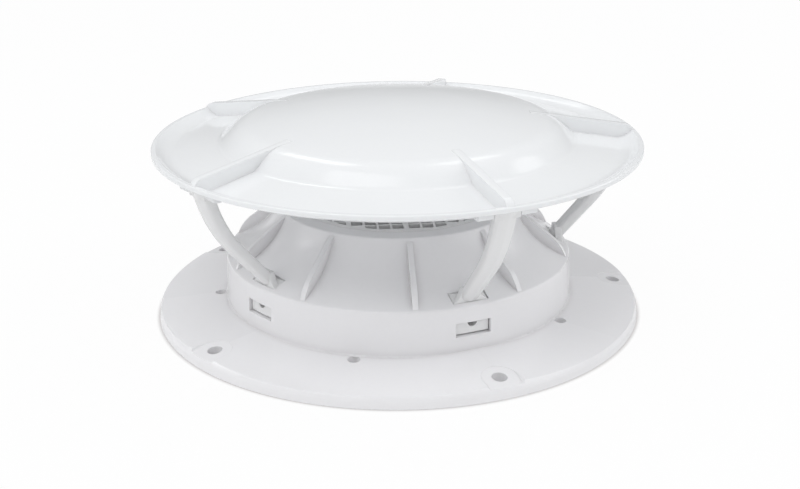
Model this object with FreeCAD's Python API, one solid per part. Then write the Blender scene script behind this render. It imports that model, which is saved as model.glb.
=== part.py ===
"""Roof vent cap for a camper: a flanged base with a finned bell, and a dished cap held over it on five legs.

Millimetres, +Z up. The origin is the centre of the underside, and the front of the object faces -Y.
Angles are measured from the front towards +X, seen from above.
"""
import FreeCAD, Part
import math
import os

from FreeCAD import Vector

# Pattern of the object
heading = 5.2                  # angle of the first fin, and of the screen's wide bars
leg_count = 5
fin_count = 10
leg_pitch = 360.0 / leg_count
leg_heading = heading + 180.0 / fin_count

# Mounting flange
flange_radius = 98.5
flange_corner_radius = 4.2     # round outer shoulder
flange_edge_lean = 0.5         # how far the edge leans in below the shoulder
flange_ridge_z = 5.7           # top at the shoulder, in line with a leg
flange_valley_z = 4.8          # top at the shoulder, between two legs
flange_foot_z = 6.9            # top at the collar, between two legs
fold_room = 0.25               # how much higher the blank is than the ridges cut from it
flange_skin = 2.5
edge_land = 3.0                # width of the flat ring that meets the roof
stiffener_count = 20
stiffener_thickness = 1.6
stiffener_lift = 0.5           # underside ribs stop short of the roof

# Screw holes in the flange, each in a seat that slopes outwards
screw_edge_distance = 7.2
screw_circle_radius = flange_radius - screw_edge_distance
screw_hole_radius = 2.85
screw_pad_radius = 6.6
screw_pad_z = 5.25
screw_pad_tilt = 9.0
screw_pad_draft = 40.0         # lean of the wall round the seat
screw_boss_radius = 5.6

# Drain holes, close to the foot of the collar
drain_foot_gap = 2.6
drain_top_radius = 2.4
drain_bottom_radius = 1.3
drain_boss_wall = 1.6

# Collar
collar_foot_radius = 70.9
collar_top_radius = 70.1
collar_inner_radius = 68.2
collar_top_z = 24.4
collar_corner_radius = 1.0
collar_foot_fillet = 0.6

# Bell and throat
throat_radius = 48.1
throat_top_z = 45.0
throat_corner_radius = 0.8
bell_waist_reach = 5.2         # from the throat out to where the bell's two slopes would meet
bell_waist_z = 32.9
bell_sweep = 33.0              # radius of the hollow curve between them
bell_skin = 2.2
mouth_radius = 38.7
lip_thickness = 3.0
pipe_socket_radius = 45.0
pipe_socket_depth = 7.6
pipe_socket_wall = 2.0

# Fins on the bell
fin_thickness = 2.2
fin_shoulder_radius = 66.8
fin_shoulder_z = 30.3
fin_bow = 18.0                 # radius of the outer edge at its shoulder

# Screen in the throat
screen_thickness = 1.6
screen_rim = 2.3
screen_fit = 0.15              # all round, in its rebate
screen_ledge = 2.3
hole_size = 4.3
thin_bar = 0.85
wide_bar = 2.0
holes_per_panel = 4
smallest_part_hole = 0.3       # a cut-off hole is kept if this share of it is left

# Leg sockets in the base, each with a window in the collar
slot_inner_radius = 62.8
slot_width = 14.6
socket_wall = 1.5
socket_floor_z = 7.6
socket_floor = 2.6
window_width = 14.2
window_height = 5.4
window_sill_z = 12.95

# Feet of the legs
foot_side_gap = 0.3
foot_wall_gap = 0.3
foot_plate = 1.2               # wall behind the latch
foot_bar = 2.0                 # bar under the latch
foot_top_z = 24.1
foot_pocket_top_z = 19.4
gusset_thickness = 2.8
gusset_height = 5.6
gusset_bow = 1.0

# Latches in the feet
latch_side_gap = 0.45          # beside the hook, in the window
latch_top_gap = 0.4            # over the hook, which rises a little as it is pressed in
latch_foot_gap = 0.3           # under the hook
latch_thickness = 1.6
latch_wall_gap = 0.8           # behind the collar wall
latch_reach = 1.0              # how far the hook stands into the window
latch_ramp = 0.5
latch_notch_radius = 1.9
latch_root_clearance = 0.08

# Legs
leg_foot_width = 7.0
leg_head_width = 8.8
leg_foot_thickness = 4.6
leg_head_thickness = 6.0
leg_ridge = 0.9                # rise of the outer face's middle line
leg_corner = 1.2
leg_root_rise = 2.1            # lowest section, above the latch pocket
head_setback = 0.9             # outer face of the leg's head, inside the cap's edge
leg_bend_rise = 2.0            # where a leg turns outwards, above its foot
leg_bend_round = 5.5
leg_knee_inset = 4.8           # where it turns up again, inside the middle of its head
leg_knee_drop = 18.7           # and below the rim
leg_knee_round = 58.0

# Heads of the legs, and the rails beside them under the cap
head_half_width = 5.0
head_inset = 2.6               # outer end of head and rails, inside the cap's edge
head_depth = 9.6
head_drop = 4.8                # below the rim
head_gap = 0.2                 # under the brim
rail_gap = 0.2
rail_width = 6.0
rail_depth = 8.4
rail_drop = 4.4

# Cap
cap_radius = 97.3
cap_rim_z = 70.8
cap_wall = 1.9
apex_rise = 13.2               # over the rim, as the next two
crown_rise = 7.8
crease_rise = 0.25
crown_radius = 58.0
shoulder_reach = 5.5           # from the crown's edge out to the shoulder
shoulder_round = 15.0
crease_reach = 12.7            # from the crown's edge out to the crease at the shoulder's foot
crease_round = 5.0
brim_inset = 5.9               # lowest line of the brim, inside the cap's edge
brim_drop = 3.1
brim_round = 7.5
lip_width = 1.9
lip_round = 0.6

# Ribs on the cap
rib_thickness = 3.2
rib_edge_round = 0.7
rib_inner_radius = 53.5
rib_outer_inset = 0.7
rib_outer_rise = 1.9           # top line over the rim at the outer end, before the round
rib_end_round = 4.0

cap_apex_z = cap_rim_z + apex_rise
leg_angles = [leg_heading + index * leg_pitch for index in range(leg_count)]

ORIGIN = Vector(0, 0, 0)
UP = Vector(0, 0, 1)
OUT = Vector(1, 0, 0)
ACROSS = Vector(0, 1, 0)
high = 2.0 * cap_apex_z        # clear above everything
deep = 1.0                     # how far joined features run into each other


def at(radius, z):
    """Point in the working plane, the XZ plane."""
    return Vector(radius, 0, z)


def turned(shape, angle):
    """Copy of a shape modelled along X, turned to an angle from the front."""
    copy = shape.copy()
    copy.rotate(ORIGIN, UP, angle - 90.0)
    return copy


def line(a, b):
    """Straight edge."""
    return Part.LineSegment(a, b).toShape()


def arc(a, middle, b):
    """Arc edge through three points."""
    return Part.Arc(a, middle, b).toShape()


def corner(a, vertex, b, radius):
    """Fillet arc at vertex, between the directions of a and b."""
    to_a = (a - vertex).normalize()
    to_b = (b - vertex).normalize()
    half = to_a.getAngle(to_b) / 2.0
    reach = radius / math.tan(half)
    start = vertex + to_a * reach
    end = vertex + to_b * reach
    middle_way = (to_a + to_b).normalize()
    middle = vertex + middle_way * (radius / math.sin(half) - radius)
    return start, middle, end


def rounded_path(points, radii):
    """Edges along the points, with a fillet of the given radius at each point between the ends."""
    edges = []
    last = points[0]
    for index, radius in enumerate(radii):
        start, middle, end = corner(points[index], points[index + 1], points[index + 2], radius)
        edges.append(line(last, start))
        edges.append(arc(start, middle, end))
        last = end
    edges.append(line(last, points[-1]))
    return edges


def straight_path(points):
    """Straight edges along the points."""
    return [line(a, b) for a, b in zip(points, points[1:])]


def revolved(edges):
    """Solid of revolution about Z from a closed outline in the XZ plane."""
    face = Part.Face(Part.Wire(edges))
    return face.revolve(ORIGIN, UP, 360.0)


def extruded(edges, thickness):
    """Plate from a closed outline in the XZ plane, centred on that plane."""
    plate = Part.Face(Part.Wire(edges)).extrude(ACROSS * thickness)
    plate.translate(ACROSS * (-thickness / 2.0))
    return plate


def polygon(points):
    """Closed wire through the points."""
    return Part.makePolygon(points + [points[0]])


def block(low_radius, high_radius, half_width, low_z, high_z):
    """Box along X, centred on the XZ plane."""
    low_corner = Vector(low_radius, -half_width, low_z)
    return Part.makeBox(high_radius - low_radius, 2.0 * half_width, high_z - low_z, low_corner)


def cylinder(radius, low_z, high_z):
    """Upright cylinder about Z."""
    return Part.makeCylinder(radius, high_z - low_z, at(0, low_z), UP)


def joined(shape, others):
    """One solid from shapes that run into each other."""
    return shape.fuse(others).removeSplitter()


# Flange

def flange_blank():
    """Ring with a leaning, rounded edge and a top that is higher than the folds cut into it."""
    shoulder = at(flange_radius - flange_edge_lean, flange_ridge_z + fold_room)
    inner_top = at(collar_inner_radius, flange_foot_z + 2.0 * deep)
    foot = at(flange_radius, 0)
    inner_foot = at(collar_inner_radius, 0)
    top = rounded_path([foot, shoulder, inner_top], [flange_corner_radius])
    return revolved(top + [line(inner_top, inner_foot), line(inner_foot, foot)])


def fold_cutters():
    """Two mirrored prisms above the flat facets on both sides of a drain valley."""
    shoulder_radius = flange_radius - flange_corner_radius
    valley_slope = (flange_foot_z - flange_valley_z) / (shoulder_radius - collar_foot_radius)
    centre_z = flange_foot_z + valley_slope * collar_foot_radius
    run = flange_radius + deep
    valley_z = centre_z - valley_slope * run
    half_pitch = math.radians(leg_pitch / 2.0)
    ridge_slope = (centre_z - flange_ridge_z) / shoulder_radius
    ridge_run = run / math.cos(half_pitch)
    ridge_z = centre_z - ridge_slope * ridge_run
    prisms = []
    for side in (-1.0, 1.0):
        outer = Vector(ridge_run * math.cos(half_pitch), side * ridge_run * math.sin(half_pitch), ridge_z)
        facet = Part.Face(polygon([at(0, centre_z), at(run, valley_z), outer]))
        prisms.append(facet.extrude(UP * high))
    return prisms


def drain_circle_radius():
    """Radius of the circle on which the drain holes lie."""
    return collar_foot_radius + drain_foot_gap


def flange_recess():
    """Hollow under the flange skin, less the ribs, screw bosses and drain bosses that stand in it."""
    inner = collar_foot_radius + deep / 2.0
    outer = flange_radius - edge_land
    low_inner = at(inner, -deep)
    hollow = revolved(straight_path([
        low_inner,
        at(outer, -deep),
        at(outer, flange_valley_z - flange_skin),
        at(inner, flange_foot_z - flange_skin),
        low_inner,
    ]))
    kept = []
    stiffener = block(inner - deep, outer + deep, stiffener_thickness / 2.0, stiffener_lift, flange_foot_z)
    for index in range(stiffener_count):
        angle = heading + (index + 0.5) * 360.0 / stiffener_count
        kept.append(turned(stiffener, angle))
    drain_boss_radius = drain_top_radius + drain_boss_wall
    screw_boss = Part.makeCylinder(screw_boss_radius, flange_foot_z, at(screw_circle_radius, 0), UP)
    drain_boss = Part.makeCylinder(drain_boss_radius, flange_foot_z, at(drain_circle_radius(), 0), UP)
    for angle in leg_angles:
        kept.append(turned(screw_boss, angle))
        kept.append(turned(drain_boss, angle + leg_pitch / 2.0))
    return hollow.cut(kept)


def screw_pad_cutter():
    """Sloping seat for a screw head, with leaning walls, cut through the shoulder to the edge."""
    centre = at(screw_circle_radius, screw_pad_z)
    depth = flange_foot_z
    top_radius = screw_pad_radius + depth * math.tan(math.radians(screw_pad_draft))
    round_end = Part.makeCone(screw_pad_radius, top_radius, depth, centre, UP)
    section = polygon([
        centre - ACROSS * screw_pad_radius,
        centre + ACROSS * screw_pad_radius,
        centre + ACROSS * top_radius + UP * depth,
        centre - ACROSS * top_radius + UP * depth,
    ])
    way_out = Part.Face(section).extrude(OUT * (screw_edge_distance + deep))
    cutter = round_end.fuse(way_out)
    cutter.rotate(centre, ACROSS, screw_pad_tilt)
    return cutter


def make_flange():
    """Flange ring, folded between the legs, with its holes, seats and hollow underside."""
    flange = flange_blank()
    cutters = []
    screw_hole = Part.makeCylinder(screw_hole_radius, high, at(screw_circle_radius, -deep), UP)
    drain_foot = at(drain_circle_radius(), 0)
    drain_hole = Part.makeCone(drain_bottom_radius, drain_top_radius, flange_foot_z, drain_foot, UP)
    pad = screw_pad_cutter()
    folds = fold_cutters()
    for angle in leg_angles:
        valley = angle + leg_pitch / 2.0
        for fold in folds:
            cutters.append(turned(fold, valley))
        cutters.append(turned(drain_hole, valley))
        cutters.append(turned(screw_hole, angle))
        cutters.append(turned(pad, angle))
    flange = flange.cut(cutters)
    return flange.cut(flange_recess())


# Collar, bell and throat

def bell_line():
    """Collar's top corner, the waist and the throat's top corner: a low slope and a steep one."""
    return [
        at(collar_top_radius, collar_top_z),
        at(throat_radius + bell_waist_reach, bell_waist_z),
        at(throat_radius, throat_top_z),
    ]


def filled_bell():
    """Collar, bell and throat without any hollow, with a hollow sweep between the bell's two slopes."""
    foot = at(collar_foot_radius, 0)
    wall_foot = at(collar_foot_radius, flange_foot_z)
    top = at(0, throat_top_z)
    outline = [wall_foot] + bell_line() + [top]
    skin = rounded_path(outline, [collar_corner_radius, bell_sweep, throat_corner_radius])
    return revolved([line(foot, wall_foot)] + skin + [line(top, ORIGIN), line(ORIGIN, foot)])


def bell_void():
    """Space under the skin of the bell, up to the lip."""
    collar_top, waist, throat_top = bell_line()
    low_slope = (waist.z - collar_top.z) / (collar_top.x - waist.x)
    steep_lean = (waist.x - throat_top.x) / (throat_top.z - waist.z)
    drop = bell_skin * math.hypot(1.0, low_slope)
    inset = bell_skin * math.hypot(1.0, steep_lean)
    shift = (drop - low_slope * inset) / (1.0 - low_slope * steep_lean)
    inner_waist = at(waist.x - inset + steep_lean * shift, waist.z - shift)
    wall_top_z = inner_waist.z - low_slope * (collar_inner_radius - inner_waist.x)
    wall_top = at(collar_inner_radius, wall_top_z)
    lip_z = throat_top_z - lip_thickness
    steep_top = at(inner_waist.x - steep_lean * (throat_top_z - inner_waist.z), throat_top_z)
    skin = rounded_path([wall_top, inner_waist, steep_top], [bell_sweep + bell_skin])
    closing = straight_path([steep_top, at(0, throat_top_z), ORIGIN, at(collar_inner_radius, 0), wall_top])
    return revolved(skin + closing).common(cylinder(collar_foot_radius, -deep, lip_z))


def make_bell():
    """Bell with its throat: the pipe's socket below the lip, and the screen's rebate above it."""
    seat_radius = mouth_radius + screen_ledge + screen_fit
    seat_z = throat_top_z - screen_thickness
    lip_z = throat_top_z - lip_thickness
    socket_foot = lip_z - pipe_socket_depth
    socket = cylinder(pipe_socket_radius + pipe_socket_wall, socket_foot, lip_z + deep)
    bell = filled_bell().cut(bell_void()).fuse(socket)
    return bell.cut([
        cylinder(pipe_socket_radius, 0, lip_z),
        cylinder(mouth_radius, 0, high),
        cylinder(seat_radius, seat_z, high),
    ])


def foot_fillet():
    """Hollow fillet where the collar stands on the flange."""
    low = flange_foot_z - deep / 2.0
    reach = collar_foot_fillet
    mid = reach * (1.0 - math.sqrt(0.5))
    outer = at(collar_foot_radius + reach, flange_foot_z)
    top = at(collar_foot_radius, flange_foot_z + reach)
    bend = arc(outer, at(collar_foot_radius + mid, flange_foot_z + mid), top)
    inner_radius = collar_foot_radius - deep
    rest = straight_path([top, at(inner_radius, top.z), at(inner_radius, low), at(outer.x, low), outer])
    return revolved([bend] + rest)


def make_fin():
    """Blade with a bowed outer edge, from the collar's corner to the throat, rooted in the bell's skin."""
    inside = bell_skin / 2.0
    foot = at(collar_top_radius - collar_corner_radius / 2.0, collar_top_z - deep / 2.0)
    shoulder = at(fin_shoulder_radius, fin_shoulder_z)
    head = at(throat_radius - deep / 2.0, throat_top_z - throat_corner_radius / 2.0)
    collar_top, waist, throat_top = bell_line()
    sweep_foot, sweep_middle, sweep_top = corner(collar_top, waist, throat_top, bell_sweep)
    into_skin = (waist - sweep_middle).normalize() * inside
    root = [head, sweep_top - OUT * inside, sweep_middle + into_skin, sweep_foot - UP * inside, foot]
    edge = rounded_path([foot, shoulder, head], [fin_bow])
    return extruded(edge + straight_path(root), fin_thickness)


def make_socket():
    """Walls and floor around a leg's foot, hung inside the collar."""
    half = slot_width / 2.0 + socket_wall
    inner = slot_inner_radius - socket_wall
    walls = block(inner, collar_foot_radius - deep, half, socket_floor_z - socket_floor, high)
    return walls.common(filled_bell())


def slot_cutter():
    """Slot for a leg's foot, down through the bell's foot to the socket floor."""
    slot = block(slot_inner_radius, collar_foot_radius, slot_width / 2.0, socket_floor_z, high)
    return slot.common(cylinder(collar_inner_radius, 0, high))


def window_cutter():
    """Opening through the collar in front of a latch."""
    half = window_width / 2.0
    return block(slot_inner_radius + deep, flange_radius, half, window_sill_z, window_sill_z + window_height)


def make_base():
    """Flange, collar, bell, fins and leg sockets, moulded in one."""
    fin = make_fin()
    socket = make_socket()
    slot = slot_cutter()
    window = window_cutter()
    added = [make_flange(), foot_fillet()]
    for index in range(fin_count):
        added.append(turned(fin, heading + index * 360.0 / fin_count))
    cutters = []
    for angle in leg_angles:
        added.append(turned(socket, angle))
        cutters.append(turned(slot, angle))
        cutters.append(turned(window, angle))
    return joined(make_bell(), added).cut(cutters).removeSplitter()


# Screen

def make_screen():
    """Round plate with square holes in panels, and a plain rim that sits in the throat's rebate."""
    outer = mouth_radius + screen_ledge
    field = outer - screen_rim
    low = throat_top_z - screen_thickness
    plate = cylinder(outer, low, throat_top_z)
    pitch = hole_size + thin_bar
    panel = holes_per_panel * pitch - thin_bar + wide_bar
    reach = int(field // panel) + 1
    starts = []
    for panel_index in range(-reach, reach):
        for hole_index in range(holes_per_panel):
            starts.append(panel_index * panel + wide_bar / 2.0 + hole_index * pitch)
    round_field = cylinder(field, low - deep, throat_top_z + deep)
    holes = []
    for x in starts:
        for y in starts:
            centre = math.hypot(x + hole_size / 2.0, y + hole_size / 2.0)
            if centre > field + hole_size:
                continue
            hole = Part.makeBox(hole_size, hole_size, screen_thickness + 2.0 * deep, Vector(x, y, low - deep))
            if centre > field - hole_size:
                whole = hole.Volume
                hole = hole.common(round_field)
                if hole.Volume < smallest_part_hole * whole:
                    continue
            holes.append(hole)
    screen = plate.cut(holes)
    return turned(screen, heading)


# Legs

def foot_outer_radius():
    """Outer face of a foot, inside the collar's wall."""
    return collar_inner_radius - foot_wall_gap


def foot_inner_radius():
    """Inner face of a foot, off the slot's inner wall."""
    return slot_inner_radius + foot_wall_gap


def leg_points():
    """Points of a leg's middle line: its root in the foot, the bend, the knee and the top."""
    foot_radius = (foot_inner_radius() + foot_outer_radius()) / 2.0
    head_radius = cap_radius - head_setback - leg_head_thickness / 2.0
    return [
        at(foot_radius, foot_pocket_top_z + leg_root_rise),
        at(foot_radius, foot_top_z + leg_bend_rise),
        at(head_radius - leg_knee_inset, cap_rim_z - leg_knee_drop),
        at(head_radius, cap_rim_z),
    ]


def leg_section(point, direction, width, thickness):
    """Section square to the leg's direction, with a raised middle line on its outer face."""
    outward = Vector(direction.z, 0, -direction.x)
    half_width = width / 2.0
    half_thickness = thickness / 2.0
    half = [
        (half_thickness - leg_ridge, half_width - leg_corner / 2.0),
        (half_thickness - leg_ridge - leg_corner, half_width),
        (-half_thickness + leg_corner, half_width - leg_corner / 4.0),
        (-half_thickness, half_width - leg_corner),
    ]
    outline = [(half_thickness, 0.0)] + half + [(depth, -side) for depth, side in reversed(half)]
    corners = [point + outward * depth + ACROSS * side for depth, side in outline]
    return polygon(corners)


def leg_strap():
    """Curved leg, swept from its foot section to the wider and deeper one at its head."""
    points = leg_points()
    path = Part.Wire(rounded_path(points, [leg_bend_round, leg_knee_round]))
    head_direction = (points[-1] - points[-2]).normalize()
    foot_section = leg_section(points[0], UP, leg_foot_width, leg_foot_thickness)
    head_section = leg_section(points[-1], head_direction, leg_head_width, leg_head_thickness)
    return path.makePipeShell([foot_section, head_section], True, False)


def latch_axis_radius():
    """Radius of the line at a latch's root about which it bends."""
    return collar_inner_radius - latch_wall_gap - latch_thickness / 2.0


def latch_axis_z():
    """Height of that line, at the top of the foot's bar."""
    return socket_floor_z + foot_bar


def latch_root(radius, half_width):
    """Round root of a latch, or its groove in the foot."""
    start = Vector(latch_axis_radius(), -half_width, latch_axis_z())
    return Part.makeCylinder(radius, 2.0 * half_width, start, ACROSS)


def make_gusset():
    """Flare from the sides of the leg down to the full width of its foot."""
    half = slot_width / 2.0 - foot_side_gap
    inner = foot_outer_radius() + deep - gusset_thickness
    top_z = foot_top_z + gusset_height
    low_z = foot_pocket_top_z + deep
    leg_half = leg_foot_width / 2.0
    shoulder = Vector(inner, half, foot_top_z)
    crest = Vector(inner, leg_half, top_z)
    chord_middle = (shoulder + crest) / 2.0
    bend = chord_middle - ACROSS * gusset_bow
    edges = [arc(shoulder, bend, crest)]
    edges += straight_path([crest, at(inner, top_z), at(inner, low_z), Vector(inner, half, low_z), shoulder])
    side = Part.Face(Part.Wire(edges)).extrude(OUT * gusset_thickness)
    return side.fuse(side.mirror(ORIGIN, ACROSS))


def make_foot():
    """Block that fills the slot, hollowed behind the window for the latch, with a flare on top."""
    half = slot_width / 2.0 - foot_side_gap
    inner = foot_inner_radius()
    outer = foot_outer_radius()
    foot = block(inner, outer + deep, half, socket_floor_z, foot_top_z)
    foot = foot.fuse(make_gusset()).common(cylinder(outer, 0, high))
    pocket = block(inner + foot_plate, collar_foot_radius, slot_width, latch_axis_z(), foot_pocket_top_z)
    groove = latch_root(latch_thickness / 2.0 + latch_root_clearance, slot_width)
    return foot.cut([pocket, groove])


def below_cap(drop):
    """Everything under the cap's top line, lowered by drop."""
    region = revolved(cap_outline(high))
    region.translate(Vector(0, 0, -drop))
    return region


def make_head():
    """Flat seat behind the top of a leg, between the rails and against the underside of the brim."""
    outer = cap_radius - head_inset
    return block(outer - head_depth, outer, head_half_width, cap_rim_z - head_drop, cap_apex_z)


def make_leg():
    """Foot, curved leg and head, with the top cut to the underside of the cap."""
    upper = leg_strap().fuse(make_head()).common(below_cap(cap_wall + head_gap))
    return joined(upper, [make_foot()])


# Latches

def make_latch():
    """Tongue that bends at its foot, with a hook in the window and a notch for a screwdriver."""
    inner = latch_axis_radius() - latch_thickness / 2.0
    outer = latch_axis_radius() + latch_thickness / 2.0
    width = window_width - 2.0 * latch_side_gap
    top = window_sill_z + window_height - latch_top_gap
    tongue = block(inner, outer, width / 2.0, latch_axis_z(), top)
    face = collar_inner_radius + latch_reach
    hook_foot = window_sill_z + latch_foot_gap
    hook_outline = straight_path([
        at(inner, hook_foot),
        at(outer, hook_foot),
        at(face + latch_ramp, hook_foot + latch_ramp),
        at(face + latch_ramp, top),
        at(inner, top),
        at(inner, hook_foot),
    ])
    hook = extruded(hook_outline, width).common(cylinder(face, 0, high))
    notch = Part.makeCylinder(latch_notch_radius, flange_radius, at(0, top), OUT)
    root = latch_root(latch_thickness / 2.0, width / 2.0)
    return joined(tongue, [hook, root]).cut(notch)


# Cap

def crown_sphere():
    """Radius of the crown's sphere, and the height of its centre."""
    rise = apex_rise - crown_rise
    radius = (crown_radius ** 2 + rise ** 2) / (2.0 * rise)
    return radius, cap_apex_z - radius


def crown_point(radius):
    """Point on the crown at a distance from the axis."""
    sphere, centre_z = crown_sphere()
    return at(radius, centre_z + math.sqrt(sphere ** 2 - radius ** 2))


def cap_top_edges():
    """Top line of the cap from the apex to the rim: crown, shoulder, crease and dished brim."""
    apex = at(0, cap_apex_z)
    edge = crown_point(crown_radius)
    centre_z = crown_sphere()[1]
    crown_slope = crown_radius / (edge.z - centre_z)
    shoulder = at(crown_radius + shoulder_reach, edge.z - crown_slope * shoulder_reach)
    crease = at(crown_radius + crease_reach, cap_rim_z + crease_rise)
    brim = at(cap_radius - brim_inset, cap_rim_z - brim_drop)
    rim = at(cap_radius - lip_width, cap_rim_z)
    crown = arc(apex, crown_point(crown_radius / 2.0), edge)
    corners = [edge, shoulder, crease, brim, rim]
    return [crown] + rounded_path(corners, [shoulder_round, crease_round, brim_round])


def cap_outline(depth):
    """Closed outline of the cap, as thick as depth says."""
    drop = Vector(0, 0, -depth)
    top_edges = cap_top_edges()
    inner_rim = at(cap_radius - lip_width, cap_rim_z)
    lip = rounded_path([inner_rim, at(cap_radius, cap_rim_z), at(cap_radius, cap_rim_z - depth)], [lip_round])
    under_edges = []
    for edge in reversed(top_edges):
        copy = edge.copy()
        copy.translate(drop)
        under_edges.append(copy)
    lip_foot = line(at(cap_radius, cap_rim_z - depth), inner_rim + drop)
    apex = at(0, cap_apex_z)
    return top_edges + lip + [lip_foot] + under_edges + [line(apex + drop, apex)]


def make_rib():
    """Straight-topped rib from the crown to the rim, sunk half a wall into the cap's skin."""
    tip = crown_point(rib_inner_radius)
    outer = cap_radius - rib_outer_inset
    low_z = cap_rim_z - brim_drop - cap_wall
    crest = at(outer, cap_rim_z + rib_outer_rise)
    end_foot = at(outer, low_z)
    tip_foot = at(rib_inner_radius, low_z)
    top = rounded_path([tip, crest, end_foot], [rib_end_round])
    rib = extruded(top + straight_path([end_foot, tip_foot, tip]), rib_thickness)
    side = rib_thickness / 2.0
    long_edges = []
    for edge in rib.Edges:
        middle = edge.valueAt((edge.FirstParameter + edge.LastParameter) / 2.0)
        on_side = abs(abs(middle.y) - side) < rib_edge_round / 2.0
        if on_side and middle.z > cap_rim_z - brim_drop:
            on_tip = abs(middle.x - rib_inner_radius) < deep
            if not on_tip:
                long_edges.append(edge)
    return rib.makeFillet(rib_edge_round, long_edges).cut(below_cap(cap_wall / 2.0))


def make_rails():
    """Two short rails under the brim, one on each side of a leg's head."""
    outer = cap_radius - head_inset
    near = head_half_width + rail_gap
    pair = []
    for start in (near, -near - rail_width):
        low_corner = Vector(outer - rail_depth, start, cap_rim_z - rail_drop)
        rail = Part.makeBox(rail_depth, rail_width, high, low_corner)
        pair.append(rail.common(below_cap(cap_wall / 2.0)))
    return pair


def make_cap():
    """Dished disc with a rib over each leg, and rails under its brim."""
    shell = revolved(cap_outline(cap_wall))
    rib = make_rib()
    rails = make_rails()
    added = []
    for angle in leg_angles:
        added.append(turned(rib, angle))
        for rail in rails:
            added.append(turned(rail, angle))
    return joined(shell, added)


def main():
    """Build every part and write it to parts/NAME.step."""
    os.makedirs("parts", exist_ok=True)
    parts = {
        "base": make_base(),
        "screen": make_screen(),
        "cap": make_cap(),
    }
    leg = make_leg()
    latch = make_latch()
    for index, angle in enumerate(leg_angles):
        parts["leg_%d" % (index + 1)] = turned(leg, angle)
        parts["latch_%d" % (index + 1)] = turned(latch, angle)
    for name, shape in parts.items():
        shape.exportStep(os.path.join("parts", name + ".step"))
        box = shape.optimalBoundingBox(False, False)
        print(name, shape.ShapeType, len(shape.Solids), shape.isValid(), round(shape.Volume, 1),
              [round(v, 2) for v in (box.XMin, box.XMax, box.YMin, box.YMax, box.ZMin, box.ZMax)])


main()
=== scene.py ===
"""Roof vent cap for a camper: white glossy mouldings on a pale studio floor.

Metres, +Z up, the front of the object faces -Y. Angles round the object are measured from the
front towards +X, seen from above. The cap and the legs are modelled here; the base, the screen and
the latches are the frame's own.
"""
import logging
import math
from dataclasses import dataclass, field
from enum import Enum
from typing import NamedTuple

import bmesh
import bpy
from mathutils import Matrix, Vector


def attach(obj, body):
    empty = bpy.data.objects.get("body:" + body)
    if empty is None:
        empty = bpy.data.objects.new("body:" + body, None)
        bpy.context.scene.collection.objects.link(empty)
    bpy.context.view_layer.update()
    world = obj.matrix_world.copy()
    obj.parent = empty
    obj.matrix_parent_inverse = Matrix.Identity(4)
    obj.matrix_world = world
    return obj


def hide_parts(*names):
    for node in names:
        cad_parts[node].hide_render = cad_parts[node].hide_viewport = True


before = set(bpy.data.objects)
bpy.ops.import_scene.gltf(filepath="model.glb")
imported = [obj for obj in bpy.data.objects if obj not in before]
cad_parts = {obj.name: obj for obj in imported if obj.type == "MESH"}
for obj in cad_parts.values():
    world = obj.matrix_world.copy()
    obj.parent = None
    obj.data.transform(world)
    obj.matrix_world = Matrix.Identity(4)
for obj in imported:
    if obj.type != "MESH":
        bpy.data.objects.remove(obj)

log = logging.getLogger("roof_vent_cap")

Colour = tuple[float, float, float]
Place = tuple[float, float, float]

ACROSS = Vector((0.0, 1.0, 0.0))
UP = Vector((0.0, 0.0, 1.0))
LAMP_TARGET = Vector((0.0, 0.0, 0.05))

FIRST_LEG_ANGLE = 23.2
LEG_PITCH = 72.0
LEG_ANGLES: tuple[float, ...] = tuple(FIRST_LEG_ANGLE + LEG_PITCH * index for index in range(5))

# Faces that meet at less than this angle are shaded as one
SMOOTH_LIMIT = math.radians(32.0)
# Distances, in metres, at which vertices are merged and places count as the same
MERGE_DISTANCE = 1e-7
NEAR_DISTANCE = 1e-6
# Steps across a rounded edge
EDGE_SEGMENTS = 4

# Samples of the shader nodes that look about them
EDGE_SAMPLES = 6
CORNER_SAMPLES = 8
FLOOR_SAMPLES = 16
# Cosine between the softened normal and the true one at which an edge is fully exposed
EXPOSED_LIKENESS = 0.75
PLASTIC_IOR = 1.5
WHITE = (1.0, 1.0, 1.0, 1.0)


# Finishes

class Surface(Enum):
    """How the mould left a surface."""

    POLISHED = "polished"
    GLOSS = "gloss"
    SATIN = "satin"


@dataclass(frozen=True)
class Texture:
    """Roughness and relief that a kind of mould surface leaves in the plastic.

    Attributes:
        roughness: mean roughness of the skin.
        spread: how far the roughness wanders about its mean.
        grain: height of the fine grain, in metres.
        flow: height of the long shallow waves, in metres.
        edge_wear: how much rougher the exposed edges are.
    """

    roughness: float
    spread: float
    grain: float
    flow: float
    edge_wear: float


TEXTURES: dict[Surface, Texture] = {
    Surface.POLISHED: Texture(
        roughness=0.13, spread=0.05, grain=0.0000025, flow=0.00005, edge_wear=0.10
    ),
    Surface.GLOSS: Texture(
        roughness=0.15, spread=0.05, grain=0.000004, flow=0.00005, edge_wear=0.14
    ),
    Surface.SATIN: Texture(
        roughness=0.32, spread=0.08, grain=0.000008, flow=0.00004, edge_wear=0.10
    ),
}


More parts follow.
